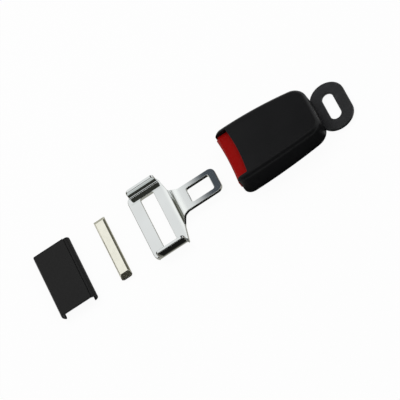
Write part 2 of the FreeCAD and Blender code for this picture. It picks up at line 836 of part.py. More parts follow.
def make_lug_rivets():
    """Two rivets: headed above the frame, flush below the lug."""
    low = floor_thickness
    seat = low + lug_thickness + frame_thickness
    top = seat + rivet_head_height
    rivets = []
    for y in (rivet_spacing / 2, -rivet_spacing / 2):
        shank = cylinder_z(rivet_radius, low, seat + rivet_swell, rivet_x, y)
        sink = Part.makeCone(rivet_sink_radius, rivet_radius, rivet_sink_depth, V(rivet_x, y, low))
        head = cylinder_z(rivet_head_radius, seat, top, rivet_x, y)
        head = head.makeChamfer(rivet_head_bevel, edges_where(head, lambda b: b.ZMin > top - 0.01))
        rivets.append(fused([shank, sink, head]))
    return Part.makeCompound(rivets)


def make_tongue_guide():
    """Moulded liner of the mouth: face beside the slot, two rails, one bridge over them."""
    rail = box(guide_face_start, guide_length, rail_inner, rail_outer, frame_top, channel_top)
    rail = rail.makeChamfer(frame_bend_radius + fit_gap, edges_along(
        rail, V(1, 0, 0), lambda c: c.y > rail_inner + 0.1 and c.z < frame_top + 0.1))
    face = box(guide_face_start, guide_face_start + guide_face_depth, rail_inner,
               guide_half - 2 * fit_gap, frame_top, channel_top)
    bridge = centred(guide_bridge_start, guide_bridge_end, rail_outer,
                     channel_top, channel_top + guide_bridge_thickness)
    guide = fused(both_sides(fused([rail, face])) + [bridge])
    lead = edges_along(guide, V(0, 0, 1), lambda c: c.x < guide_face_start + 0.1
                       and abs(abs(c.y) - rail_inner) < 0.1)
    return guide.makeChamfer(guide_lead, lead)


def make_pivot_pin():
    """Headed pin across the frame; the latch turns on it."""
    outer = frame_outer_half
    pin = cylinder_y(pivot_radius, -outer - pivot_tail, outer, pivot_x, pivot_height)
    head = cylinder_y(pivot_head_radius, outer, outer + pivot_head_length, pivot_x, pivot_height)
    return fused([pin, head])


def make_latch():
    """Steel latch plate with its nose, lock step and two knuckles, turned to the open place."""
    plate = centred(nose_shoulder_x, latch_web_end, latch_half_width, latch_bottom, latch_top)
    plate = plate.makeFillet(latch_corner_radius, edges_along(
        plate, V(0, 0, 1), lambda c: c.x < nose_shoulder_x + 0.1))
    nose_bar = centred(latch_front, nose_shoulder_x + latch_thickness, latch_nose_half_width,
                       latch_bottom, latch_top)
    nose = centred(latch_front, latch_front + nose_length, latch_nose_half_width, nose_bottom,
                   latch_top)
    nose = nose.makeChamfer(nose_bevel, edges_along(
        nose, V(0, 1, 0), lambda c: c.z < nose_bottom + 0.1 and c.x < latch_front + 0.1))
    knuckle = cylinder_y(knuckle_radius, knuckle_inner, latch_half_width, pivot_x, pivot_height)
    web = box(latch_web_end - latch_thickness, pivot_x, knuckle_inner, latch_half_width,
              latch_bottom, latch_recess_top)
    latch = fused([plate, nose_bar, nose] + both_sides(fused([knuckle, web])))
    recess = centred(latch_step_x, latch_web_end + wall, latch_half_width + wall,
                     latch_recess_top, latch_top + wall)
    keep = cylinder_y(knuckle_radius, -beyond, beyond, pivot_x, pivot_height)
    latch = latch.cut(recess.cut(keep))
    latch = latch.cut(cylinder_y(pivot_radius + running_gap, -beyond, beyond, pivot_x,
                                 pivot_height))
    latch.rotate(V(pivot_x, 0, pivot_height), V(0, 1, 0), latch_open_angle)
    return latch.removeSplitter()


def make_release_button():
    """Red push button: dished front, sloped strip, hollow rear, two arms to the lock pin."""
    half = button_width / 2
    low, high = button_bottom, button_top
    block = closed_face([
        arc(V(0, -half, low), V(button_dish, 0, low), V(0, half, low)),
        line(V(0, half, low), V(button_depth, half, low)),
        line(V(button_depth, half, low), V(button_depth, -half, low)),
        line(V(button_depth, -half, low), V(0, -half, low)),
    ]).extrude(V(0, 0, high - low))
    slope = button_strip_drop / button_strip
    strip = polygon([V(x, -half - wall, z) for x, z in (
        (-wall, high + wall), (button_strip + wall / slope, high + wall),
        (-wall, high - button_strip_drop - wall * slope),
    )]).extrude(V(0, button_width + 2 * wall, 0))
    block = block.cut(strip)
    hollow = centred(button_front_wall, button_depth + wall, half - button_wall,
                     low + button_wall, high - button_wall)
    arm = box(button_front_wall - fit_gap, arm_end, arm_inner, arm_outer, arm_bottom, arm_top)
    button = fused([block.cut(hollow)] + both_sides(arm))
    return button.cut(cylinder_y(lock_pin_radius + seat_gap, -beyond, beyond,
                                 lock_pin_x, lock_pin_height)).removeSplitter()


def make_lock_pin():
    """Pin that the button carries over the latch; its ends run in the frame's slots."""
    reach = frame_outer_half - lock_pin_inset
    return cylinder_y(lock_pin_radius, -reach, reach, lock_pin_x, lock_pin_height)


def spring_post(radius, x0, x1, y, z):
    """A peg that centres a spring."""
    return cylinder_x(radius - wire_radius - post_gap, x0, x1, y, z)


def make_ejector():
    """Sprung slider that the tongue's tip pushes back: a fork and a body with a spring post."""
    body_start = ejector_front + ejector_fork_depth
    body_end = body_start + ejector_body_depth
    body = centred(body_start, body_end, ejector_half_width, ejector_low, ejector_top)
    prong = box(ejector_front, body_start + wall, prong_inner, prong_outer,
                ejector_low, ejector_top)
    post = spring_post(ejector_spring_radius, body_end - wall, body_end + post_length, 0,
                       ejector_spring_height)
    return fused([body, post] + both_sides(prong))


def make_spring_carrier():
    """Moulded cross block behind the latch: rear seat of every spring."""
    block = centred(carrier_start, carrier_end, carrier_half_width, frame_top, carrier_top)
    block = block.makeChamfer(frame_bend_radius + fit_gap, edges_along(
        block, V(1, 0, 0), lambda c: c.z < frame_top + 0.1))
    shelf = centred(shelf_start, carrier_end, shelf_half_width, shelf_bottom, shelf_top)
    tip, root = carrier_start - post_length, carrier_start + carrier_depth / 2
    posts = [spring_post(ejector_spring_radius, tip, root, 0, ejector_spring_height)]
    posts += both_sides(spring_post(button_spring_radius, tip, root, button_spring_y,
                                    button_spring_height))
    return fused([block, shelf] + posts)


def coil_spring(x0, x1, y, z, radius, turns):
    """Open coil of square wire along X between two seats."""
    steps = turns * coil_steps
    pitch = (x1 - x0 - 2 * wire_radius) / steps
    sections = []
    for i in range(steps + 1):
        angle = 2 * math.pi * i / coil_steps
        out = V(0, math.cos(angle), math.sin(angle)) * wire_radius
        along = V(wire_radius, 0, 0)
        centre = V(x0 + wire_radius + pitch * i, y, z) + out * (radius / wire_radius)
        corners = [centre + out + along, centre + out - along,
                   centre - out - along, centre - out + along]
        sections.append(Part.makePolygon(corners + corners[:1]))
    return Part.makeLoft(sections, True, True)


def make_ejector_spring():
    """Compression spring behind the ejector."""
    rear = ejector_front + ejector_fork_depth + ejector_body_depth
    return coil_spring(rear, carrier_start, 0, ejector_spring_height,
                       ejector_spring_radius, ejector_spring_turns)


def make_button_spring(side):
    """Compression spring behind one arm of the button."""
    return coil_spring(arm_end, carrier_start, side * button_spring_y, button_spring_height,
                       button_spring_radius, button_spring_turns)


def make_latch_spring():
    """Leaf spring under the carrier's shelf; its tip rests on the open latch."""
    angle = math.radians(latch_open_angle)
    crown = latch_top - pivot_height
    tip = pivot_height + leaf_reach * math.sin(angle) + crown * math.cos(angle) + leaf_tip_rise
    bend_x = leaf_tip_x + leaf_bend_run
    toe_x = leaf_tip_x - leaf_toe
    lower = [(carrier_start, leaf_low), (bend_x, leaf_low), (leaf_tip_x, tip),
             (toe_x, tip + leaf_toe_rise)]
    upper = [(x, z + leaf_thickness) for x, z in lower[::-1]]
    return polygon([V(x, -leaf_half_width, z) for x, z in lower + upper]).extrude(
        V(0, 2 * leaf_half_width, 0))


def main():
    """Builds every piece, sets it in its place along the row and writes it."""
    os.makedirs("parts", exist_ok=True)
    form = rounded_roof(housing_form(0, 0))
    space = housing_form(wall, floor_thickness)
    in_buckle = {
        "lower_shell": make_lower_shell(form, space),
        "upper_shell": make_upper_shell(form, space),
        "shell_screws": make_shell_screws(),
        "base_plate": make_base_plate(),
        "anchor_lug": make_anchor_lug(),
        "lug_rivets": make_lug_rivets(),
        "tongue_guide": make_tongue_guide(),
        "latch_pivot_pin": make_pivot_pin(),
        "latch": make_latch(),
        "release_button": make_release_button(),
        "lock_pin": make_lock_pin(),
        "ejector": make_ejector(),
        "spring_carrier": make_spring_carrier(),
        "ejector_spring": make_ejector_spring(),
        "button_spring_left": make_button_spring(1),
        "button_spring_right": make_button_spring(-1),
        "latch_spring": make_latch_spring(),
    }
    placed = {name: (shape, buckle_x) for name, shape in in_buckle.items()}
    placed["tongue_plate"] = (make_tongue_plate(), tongue_x)
    placed["slide_bar"] = (make_slide_bar(), bar_x)
    placed["bar_cover"] = (make_cover(), cover_x)
    for name, (shape, x) in placed.items():
        shape.translate(V(x, 0, 0))
        shape.exportStep("parts/" + name + ".step")
        b = shape.BoundBox
        print(name, shape.isValid(), len(shape.Solids), round(shape.Volume, 1),
              [round(v, 2) for v in (b.XMin, b.XMax, b.YMin, b.YMax, b.ZMin, b.ZMax)])


main()
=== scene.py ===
import json
import math

import bmesh
import bpy
from bpy.props import FloatProperty, FloatVectorProperty, IntProperty, PointerProperty
from mathutils import Matrix, Vector


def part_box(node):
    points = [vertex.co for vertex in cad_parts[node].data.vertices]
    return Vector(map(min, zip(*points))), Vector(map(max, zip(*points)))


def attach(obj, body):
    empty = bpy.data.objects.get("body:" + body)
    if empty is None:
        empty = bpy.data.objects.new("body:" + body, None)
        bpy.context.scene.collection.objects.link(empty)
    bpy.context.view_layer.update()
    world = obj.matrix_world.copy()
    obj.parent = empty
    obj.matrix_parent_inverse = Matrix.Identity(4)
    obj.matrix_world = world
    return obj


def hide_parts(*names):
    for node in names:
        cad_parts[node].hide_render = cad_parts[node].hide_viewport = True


bl_info = {
    "name": "Belt fastener set",
    "version": (1, 0, 0),
    "blender": (4, 5, 0),
    "location": "View3D > Sidebar > Fastener",
    "description": "Finishes a belt fastener laid out in a row: cover, bar, tongue and buckle",
    "category": "Object",
}

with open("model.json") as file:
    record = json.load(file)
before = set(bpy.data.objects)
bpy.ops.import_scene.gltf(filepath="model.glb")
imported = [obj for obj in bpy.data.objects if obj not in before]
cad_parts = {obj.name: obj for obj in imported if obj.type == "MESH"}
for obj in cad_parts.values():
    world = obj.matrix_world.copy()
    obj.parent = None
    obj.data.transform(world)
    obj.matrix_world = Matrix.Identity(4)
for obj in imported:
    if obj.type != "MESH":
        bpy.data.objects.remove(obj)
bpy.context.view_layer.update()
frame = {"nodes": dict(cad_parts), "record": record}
MM = 0.001

# A node's skin: points nearer than MERGE are one, faces within FLAT are one plane, and edges
# sharper than SHARP are hard.
MERGE = 0.002 * MM
FLAT = math.radians(0.5)
SHARP = math.radians(28)

# Where two hard edges meet within RUN_OUT_ANGLE, one runs out into the other. Edges shorter than
# SHORT_EDGE within RUN_OUT_REACH of that point stay sharp, as there is no room to round them.
RUN_OUT_ANGLE = math.radians(25)
SHORT_EDGE = 0.6 * MM
RUN_OUT_REACH = 3.2 * MM

# The camera's axes, and how far its aim lies from the buckle's front along the first two.
VIEW_RIGHT = Vector((0.8337, -0.3472, -0.4294))
VIEW_UP = Vector((0.5413, 0.6670, 0.5117))
VIEW_BACK = Vector((0.1087, -0.6590, 0.7440))
AIM_LEFT = 26.45 * MM
AIM_BELOW = 21.35 * MM

# The floor lies just under the set, and some cards lie between the two, at LOW. FLOOR_GLOW is the
# floor's share of even white, which keeps it as pale as the surround.
FLOOR_WIDTH = 6.0
FLOOR_DROP = 0.02 * MM
FLOOR_COLOUR = (0.9, 0.9, 0.9, 1.0)
FLOOR_GLOW = 0.94
LOW = -0.01 * MM

# Cards that glow only for mirroring surfaces, so they paint reflections there: dark ones as
# painted dark reflections, greys as a painted darker floor and surround, pale ones and those
# brighter than white as painted highlights. In metres: name, centre, the way it faces, width and
# length, colour, and for some the axis (0 is X, 1 is Y) and the two places between which the card
# fades in.
# This colour paints dark reflections where nothing dark stands.
DARK_REFLECTION = (0.012, 0.012, 0.011)
# This one glows brighter than white and paints highlights.
PAINTED_HIGHLIGHT = (1.24, 1.24, 1.22)
OVERHEAD = (0, 0, -1)
ON_FLOOR = (0, 0, 1)
REFLECTION_CARDS = (
    # A dark wall and ceiling that only reflections see paint dark reflections into the set.
    ("dark_wall", (0.0, -0.42, 0.5), (0, 1, 0), (2.4, 1.0), DARK_REFLECTION),
    ("dark_ceiling", (0.0, -0.27, 1.0), OVERHEAD, (2.4, 0.3), DARK_REFLECTION),
    # Grey cards here paint the reflection of a darker floor and surround; the camera sees the
    # white floor.
    ("floor_at_tongue", (-0.03, 0.0, -0.015 * MM), ON_FLOOR, (0.13, 0.13), (0.42, 0.41, 0.36)),
    ("beyond_ramp", (-0.45, 0.40, 0.10), (0.75, -0.66, 0), (0.7, 0.30), (0.47, 0.46, 0.41)),
    ("beside_ear", (-0.0375, -0.041, LOW), ON_FLOOR, (0.032, 0.012), DARK_REFLECTION, (1, -0.0355, -0.0395)),
    ("inside_ear", (-0.036, -0.0322, 0.0063), (0, 1, 0), (0.027, 0.0074), DARK_REFLECTION),
    ("beside_arm", (0.002, -0.0160, LOW), ON_FLOOR, (0.040, 0.005), DARK_REFLECTION),
    ("in_hole", (0.003, 0.0035, LOW), ON_FLOOR, (0.020, 0.0045), DARK_REFLECTION),
    ("over_arm", (0.135, 0.205, 0.25), OVERHEAD, (0.39, 0.29), (0.085, 0.098, 0.115),
     (0, -0.047, -0.022)),
    # Two cards, brighter than white, paint highlights on the plate before and after its ramp.
    ("before_ramp", (-0.0275, 0.033, 0.04), OVERHEAD, (0.009, 0.078), PAINTED_HIGHLIGHT,
     (0, -0.0290, -0.0255)),
    ("behind_ramp", (-0.0195, 0.035, 0.042), OVERHEAD, (0.007, 0.050), PAINTED_HIGHLIGHT,
     (0, -0.0160, -0.0195)),
    ("in_window", (-0.0363, 0.0270, 0.0036), (0, -1, 0), (0.026, 0.0020), (0.90, 0.91, 0.90)),
    ("beside_bar", (-0.0600, 0.010, 0.008), (-1, 0, 0), (0.09, 0.018), (0.11, 0.11, 0.085)),
    ("beyond_bar", (-0.0790, 0.060, LOW), ON_FLOOR, (0.022, 0.05), (0.36, 0.36, 0.31)),
    ("before_bar", (-0.0775, -0.0352, LOW), ON_FLOOR, (0.018, 0.009), DARK_REFLECTION),
    ("over_bar_end", (-0.1050, -0.085, 0.2), OVERHEAD, (0.12, 0.15), (0.050, 0.050, 0.042)),
    ("over_buckle", (0.147, 0.205, 0.249), OVERHEAD, (0.306, 0.29), DARK_REFLECTION),
    ("beside_buckle", (0.082, -0.042, LOW), ON_FLOOR, (0.114, 0.044), DARK_REFLECTION),
)

# The finish of each CAD node, as the record has it.
NODE_SLOTS = {
    "lower_shell": "housing_plastic", "upper_shell": "housing_plastic",
    "shell_screws": "screw_steel", "base_plate": "frame_steel", "anchor_lug": "lug_coating",
    "lug_rivets": "pin_steel", "tongue_guide": "guide_plastic", "latch_pivot_pin": "pin_steel",
    "spring_carrier": "guide_plastic", "latch_spring": "spring_steel",
    "ejector_spring": "spring_steel", "button_spring_left": "spring_steel",
    "button_spring_right": "spring_steel", "release_button": "button_plastic",
    "lock_pin": "pin_steel", "latch": "frame_steel", "ejector": "ejector_plastic",
    "tongue_plate": "chrome_plate", "slide_bar": "bar_nickel", "bar_cover": "cover_plastic",
}


class Wire:
    """A node's output that takes part in Python arithmetic; each step adds a Math node."""

    def __init__(self, finish, socket):
        self.finish = finish
        self.socket = socket

    def maths(self, operation, *others):
        """The result of one operation on this value and others."""
        return self.finish.node("ShaderNodeMath", {"operation": operation},
                                dict(enumerate((self,) + others)))

    def __add__(self, other):
        return self.maths("ADD", other)

    def __sub__(self, other):
        return self.maths("SUBTRACT", other)

    def __mul__(self, other):
        return self.maths("MULTIPLY", other)

    def clamped(self):
        """The same value, kept between 0 and 1."""
        return self.finish.node("ShaderNodeClamp", {}, {0: self})

    __radd__ = __add__


class Finish:
    """One node tree, for a material or for the world, and the ways to add to it."""

    def __init__(self, owner):
        owner.use_nodes = True
        self.owner = owner
        self.tree = owner.node_tree
        self.tree.nodes.clear()

    def node(self, kind, settings=None, sockets=None, output=0):
        """A new node: its settings first, then the values or links of its sockets."""
        made = self.tree.nodes.new(kind)
        for name, value in (settings or {}).items():
            setattr(made, name, value)
        for name, value in (sockets or {}).items():
            if isinstance(value, Wire):
                self.tree.links.new(value.socket, made.inputs[name])
            else:
                made.inputs[name].default_value = value
        return Wire(self, made.outputs[output]) if made.outputs else None

    def place(self, scale=(1, 1, 1), turn=(0, 0, 0)):
        """Object coordinates, stretched or turned."""
        where = self.node("ShaderNodeTexCoord", output="Object")
        return self.node("ShaderNodeMapping", {}, {"Vector": where, "Scale": scale,
                                                   "Rotation": turn})

    def noise(self, size, detail=2.0, rough=0.5, scale=(1, 1, 1), turn=(0, 0, 0)):
        """Noise whose features are about one size across, in metres."""
        return self.node("ShaderNodeTexNoise", {}, {
            "Vector": self.place(scale, turn), "Scale": 1.0 / size, "Detail": detail,
            "Roughness": rough})

    def step(self, value, low, high):
        """0 below the low value, 1 above the high one, smooth between."""
        return self.node("ShaderNodeMapRange", {"interpolation_type": "SMOOTHSTEP"}, {
            "Value": value, "From Min": low, "From Max": high})

    def tint(self, mask, first, second):
        """One colour where the mask is 0, the other where it is 1."""
        return self.node("ShaderNodeMix", {"data_type": "RGBA"}, {
            0: mask, 6: (*first, 1.0), 7: (*second, 1.0)}, output=2)

    def bump(self, height, depth, below=None):
        """Normals for a relief of one depth, in metres, over another relief."""
        sockets = {"Height": height, "Strength": 1.0, "Distance": depth}
        if below is not None:
            sockets["Normal"] = below
        return self.node("ShaderNodeBump", {}, sockets)

    def mixed(self, factor, first, second):
        """One surface where the factor is 0, the other where it is 1."""
        return self.node("ShaderNodeMixShader", {}, {0: factor, 1: first, 2: second})

    def emission(self, colour):
        """A surface that glows evenly."""
        return self.node("ShaderNodeEmission", {}, {"Color": (*colour, 1.0), "Strength": 1.0})

    def seen_or_mirrored(self):
        """1 for rays from the camera, from mirroring surfaces and through clear ones, else 0."""
        path = self.tree.nodes.new("ShaderNodeLightPath")
        seen, glossy, through = (Wire(self, path.outputs[name]) for name in (
            "Is Camera Ray", "Is Glossy Ray", "Is Transmission Ray"))
        return (seen + glossy + through).clamped()

    def surface(self, sockets):
        """The finished surface."""
        shader = self.node("ShaderNodeBsdfPrincipled", {}, sockets)
        self.node("ShaderNodeOutputMaterial", {}, {"Surface": shader})
        return self.owner


def new_finish(name):
    """An empty material to build a finish in."""
    return Finish(bpy.data.materials.new(name))


def shaded(colour, share):
    """A colour made lighter or darker by a share."""
    return tuple(min(1.0, c * share) for c in colour)


def moulded_plastic(name, colour, rough, grain, depth, shine, rub=0.12):
    """Moulded plastic: fine spark-eroded grain, slow drift in tone, faint rubbed marks."""
    f = new_finish(name)
    fine = f.noise(grain, 3.0, 0.6)
    drift = f.noise(26 * MM, 2.0)
    marks = f.step(f.noise(9 * MM, 6.0, 0.62, (1, 9, 1), (0, 0, 0.5)), 0.56, 0.68)
    tone = f.tint(drift, shaded(colour, 0.9), shaded(colour, 1.12))
    tone = f.node("ShaderNodeMix", {"data_type": "RGBA"}, {
        0: marks * rub, 6: tone, 7: (*shaded(colour, 1.9), 1.0)}, output=2)
    return f.surface({
        "Base Color": tone,
        "Roughness": (rough + (drift - 0.5) * 0.12 - marks * 0.06 + (fine - 0.5) * 0.08).clamped(),
        "Specular IOR Level": shine,
        "Normal": f.bump(fine, depth, f.bump(drift, 30 * depth)),
    })


def plated_metal(name, colour, rough, drawn, wave=0.02 * MM):
    """Polished plating over pressed steel: slow waves, hair-fine rubbing, a few pits."""
    f = new_finish(name)
    waves = f.noise(18 * MM, 1.0)
    hair = f.noise(1.6 * MM, 5.0, 0.65, (1, 14, 14), (0, 0, 0.2))
    pits = f.step(f.noise(0.9 * MM, 2.0), 0.70, 0.78)
    tone = f.tint(waves, shaded(colour, 0.96), shaded(colour, 1.04))
    return f.surface({
        "Base Color": tone,
        "Metallic": 1.0,
        "Roughness": (rough + (hair - 0.5) * drawn + pits * 0.1).clamped(),
        "Normal": f.bump(pits, -0.003 * MM, f.bump(hair, 0.00025 * MM, f.bump(waves, wave))),
    })


def raw_steel(name, colour, rough, streak=(1, 10, 10), oil=0.5):
    """Bare or zinc-plated steel: drawn streaks, cloudy oil film, dark specks."""
    f = new_finish(name)
    streaks = f.noise(2.2 * MM, 4.0, 0.6, streak)
    cloud = f.noise(7 * MM, 3.0)
    specks = f.step(f.noise(0.6 * MM, 2.0), 0.68, 0.76)
    film = (cloud * oil + streaks * 0.4).clamped()
    tone = f.tint(film, shaded(colour, 0.75), shaded(colour, 1.15))
    return f.surface({
        "Base Color": tone,
        "Metallic": 1.0,
        "Roughness": (
            rough + (cloud - 0.5) * 0.15 + (streaks - 0.5) * 0.15 + specks * 0.1).clamped(),
        "Normal": f.bump(specks, -0.01 * MM, f.bump(streaks, 0.01 * MM)),
    })


def blasted_nickel(name, colour, dark):
    """Satin nickel on a half-round bar: cloudy plating and fine dark specks."""
    f = new_finish(name)
    speckle = f.noise(0.55 * MM, 4.0, 0.7)
    blotch = f.noise(5.0 * MM, 3.0)
    pits = f.step(speckle, 0.62, 0.74)
    tone = f.tint((pits * 0.35 + (blotch - 0.45) * 0.6).clamped(), colour, dark)
    return f.surface({
        "Base Color": tone,
        "Metallic": 1.0,
        "Roughness": (0.17 + (blotch - 0.5) * 0.12 + pits * 0.15).clamped(),
        "Normal": f.bump(speckle, 0.001 * MM, f.bump(blotch, 0.015 * MM)),
    })


def powder_coat(name, colour):
    """Dark powder coat on the anchor lug: orange peel, greyer where a belt has rubbed."""
    f = new_finish(name)
    peel = f.noise(0.7 * MM, 2.0)
    rubbed = f.step(f.noise(6 * MM, 4.0), 0.5, 0.72)
    return f.surface({
        "Base Color": f.tint(rubbed * 0.5, colour, shaded(colour, 1.5)),
        "Roughness": (0.42 + rubbed * 0.1 + (peel - 0.5) * 0.1).clamped(),
        "Specular IOR Level": 0.5,
        "Normal": f.bump(peel, 0.012 * MM),
    })


def finishes():
    """Every finish of the set, by the record's slot names."""
    p = bpy.context.scene.fastener_colours
    return {
        "housing_plastic": moulded_plastic(
            "housing_grain", p.housing, 0.42, 0.30 * MM, 0.006 * MM, 0.19),
        "cover_plastic": moulded_plastic(
            "cover_grain", p.cover, 0.46, 0.34 * MM, 0.0035 * MM, 0.13),
        "button_plastic": moulded_plastic(
            "button_red", p.button, 0.28, 0.5 * MM, 0.003 * MM, 0.05, 0.03),
        "guide_plastic": moulded_plastic(
            "guide_acetal", p.guide, 0.5, 0.4 * MM, 0.004 * MM, 0.3),
        "ejector_plastic": moulded_plastic(
            "ejector_acetal", p.ejector, 0.45, 0.4 * MM, 0.004 * MM, 0.4),
        "chrome_plate": plated_metal("chrome_plate", p.chrome, 0.05, 0.03),
        "bar_nickel": blasted_nickel("bar_nickel", p.nickel, p.nickel_shade),
        "lug_coating": powder_coat("lug_coating", p.lug),
        "frame_steel": raw_steel("frame_zinc", p.steel, 0.38),
        "pin_steel": raw_steel("pin_steel", p.steel, 0.25, (6, 1, 6), 0.3),
        "spring_steel": raw_steel("spring_steel", p.spring, 0.28, (4, 4, 4), 0.3),
        "screw_steel": raw_steel("screw_zinc", p.screw, 0.35, (8, 8, 1), 0.4),
    }


def finish_of(slot):
    """A finish by its slot; all are made the first time that one is asked for."""
    store = bpy.context.scene.fastener_finishes
    if not store.made:
        for name, material in finishes().items():
            material["belt_slot"] = name
        store.made = 1
    for material in bpy.data.materials:
        if material.get("belt_slot") == slot:
            return material
    raise RuntimeError("no finish for " + slot)


def body_of(node):
    """The moving body that holds a CAD node."""
    for body, nodes in frame["record"]["behaviour"]["bodies"].items():
        if node in nodes:
            return body
    raise RuntimeError("no body holds " + node)


def dress(node):
    """Gives a CAD node its finish as it stands."""
    thing = frame["nodes"][node]
    thing.data.materials.clear()
    thing.data.materials.append(finish_of(NODE_SLOTS[node]))


def mark_rounded_edges(work):
    """Weights the hard edges for rounding, apart from the short ones beside a run-out."""
    weight = work.edges.layers.float.new("bevel_weight_edge")
    hard = [edge for edge in work.edges if edge.calc_face_angle(0.0) > SHARP]
    for edge in hard:
        edge[weight] = 1.0
    run_outs = []
    for vert in {vert for edge in hard for vert in edge.verts}:
        ways = [(edge.other_vert(vert).co - vert.co).normalized() for edge in vert.link_edges
                if edge[weight] > 0.5]
        if any(a.angle(b, math.pi) < RUN_OUT_ANGLE for i, a in enumerate(ways)
               for b in ways[:i]):
            run_outs.append(vert.co.copy())
    for edge in hard:
        middle = (edge.verts[0].co + edge.verts[1].co) / 2
        near = any((middle - place).length < RUN_OUT_REACH for place in run_outs)
        if near and edge.calc_length() < SHORT_EDGE:
            edge[weight] = 0.0


def finished_copy(node, name, edge):
    """A node's own surface merged to one skin, its hard edges rounded, in the node's place."""
    work = bmesh.new()
    work.from_mesh(frame["nodes"][node].data)
    bmesh.ops.remove_doubles(work, verts=work.verts, dist=MERGE)
    bmesh.ops.dissolve_degenerate(work, dist=MERGE / 2, edges=work.edges)
    bmesh.ops.dissolve_limit(work, angle_limit=FLAT, verts=work.verts, edges=work.edges)
    holed = [face for face in work.faces
             if any(edge.calc_face_angle(1.0) < FLAT for edge in face.edges)]
    bmesh.ops.triangulate(work, faces=holed)
    mark_rounded_edges(work)
    for face in work.faces:
        face.smooth = True
    mesh = bpy.data.meshes.new(name)
    work.to_mesh(mesh)
    work.free()
    mesh.set_sharp_from_angle(angle=SHARP)
    piece = bpy.data.objects.new(name, mesh)
    bpy.context.scene.collection.objects.link(piece)
    mesh.materials.append(finish_of(NODE_SLOTS[node]))
    if edge > 0:
        rounding = piece.modifiers.new("edge_round", "BEVEL")
        rounding.width = edge
        rounding.segments = 3
        rounding.limit_method = "WEIGHT"
        rounding.use_clamp_overlap = False
        rounding.miter_outer = "MITER_ARC"
        rounding.harden_normals = True
    weighting = piece.modifiers.new("flat_faces", "WEIGHTED_NORMAL")
    weighting.keep_sharp = True
    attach(piece, body_of(node))
    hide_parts(node)


def colour(label, value):
    """One colour that a user can change."""
    return FloatVectorProperty(name=label, description="Base colour, linear", subtype="COLOR",
                               size=3, min=0.0, max=1.0, default=value)


class FastenerColours(bpy.types.PropertyGroup):
    """Base colours of the set's finishes, linear."""

    housing: colour("Housing", (0.0056, 0.0058, 0.0064))
    cover: colour("Cover", (0.0095, 0.0095, 0.0095))
    button: colour("Button", (0.30, 0.004, 0.003))
    guide: colour("Guide", (0.012, 0.012, 0.012))
    ejector: colour("Ejector", (0.35, 0.35, 0.33))
    chrome: colour("Chrome", (0.70, 0.725, 0.72))
    nickel: colour("Bar", (0.84, 0.83, 0.725))
    nickel_shade: colour("Bar pits", (0.50, 0.49, 0.41))
    lug: colour("Lug", (0.0145, 0.015, 0.0165))
    steel: colour("Steel", (0.52, 0.52, 0.50))
    spring: colour("Spring", (0.44, 0.44, 0.46))
    screw: colour("Screws", (0.045, 0.045, 0.047))


class FastenerFinishes(bpy.types.PropertyGroup):
    """Whether the finishes have been made."""

    made: IntProperty(name="Made", description="1 once the finishes exist", default=0)


class FastenerSizes(bpy.types.PropertyGroup):
    """Sizes of the finish that a user would change."""

    plate_edge: FloatProperty(name="Plate edge", description="Rounding of the pressed edges",
                              default=0.32 * MM, unit="LENGTH", precision=5)
    plastic_edge: FloatProperty(name="Plastic edge", description="Rounding of moulded edges",
                                default=0.25 * MM, unit="LENGTH", precision=5)
    bar_edge: FloatProperty(name="Bar edge", description="Rounding of the bar's edges",
                            default=0.30 * MM, unit="LENGTH", precision=5)


class StudioSettings(bpy.types.PropertyGroup):
    """Lamps and camera."""

    key_power: FloatProperty(name="Key", description="Power of the main lamp", default=9.0,
                             unit="POWER")
    fill_power: FloatProperty(name="Fill", description="Power of the fill lamp", default=3.0,
                              unit="POWER")
    ambient: FloatProperty(name="Ambient", description="Strength of the even light", default=0.55)
    distance: FloatProperty(name="Distance", description="Camera distance", default=4.0,
                            unit="LENGTH")
    view_width: FloatProperty(name="View width", description="Width seen at the aim point",
                              default=0.3008, unit="LENGTH", precision=4)


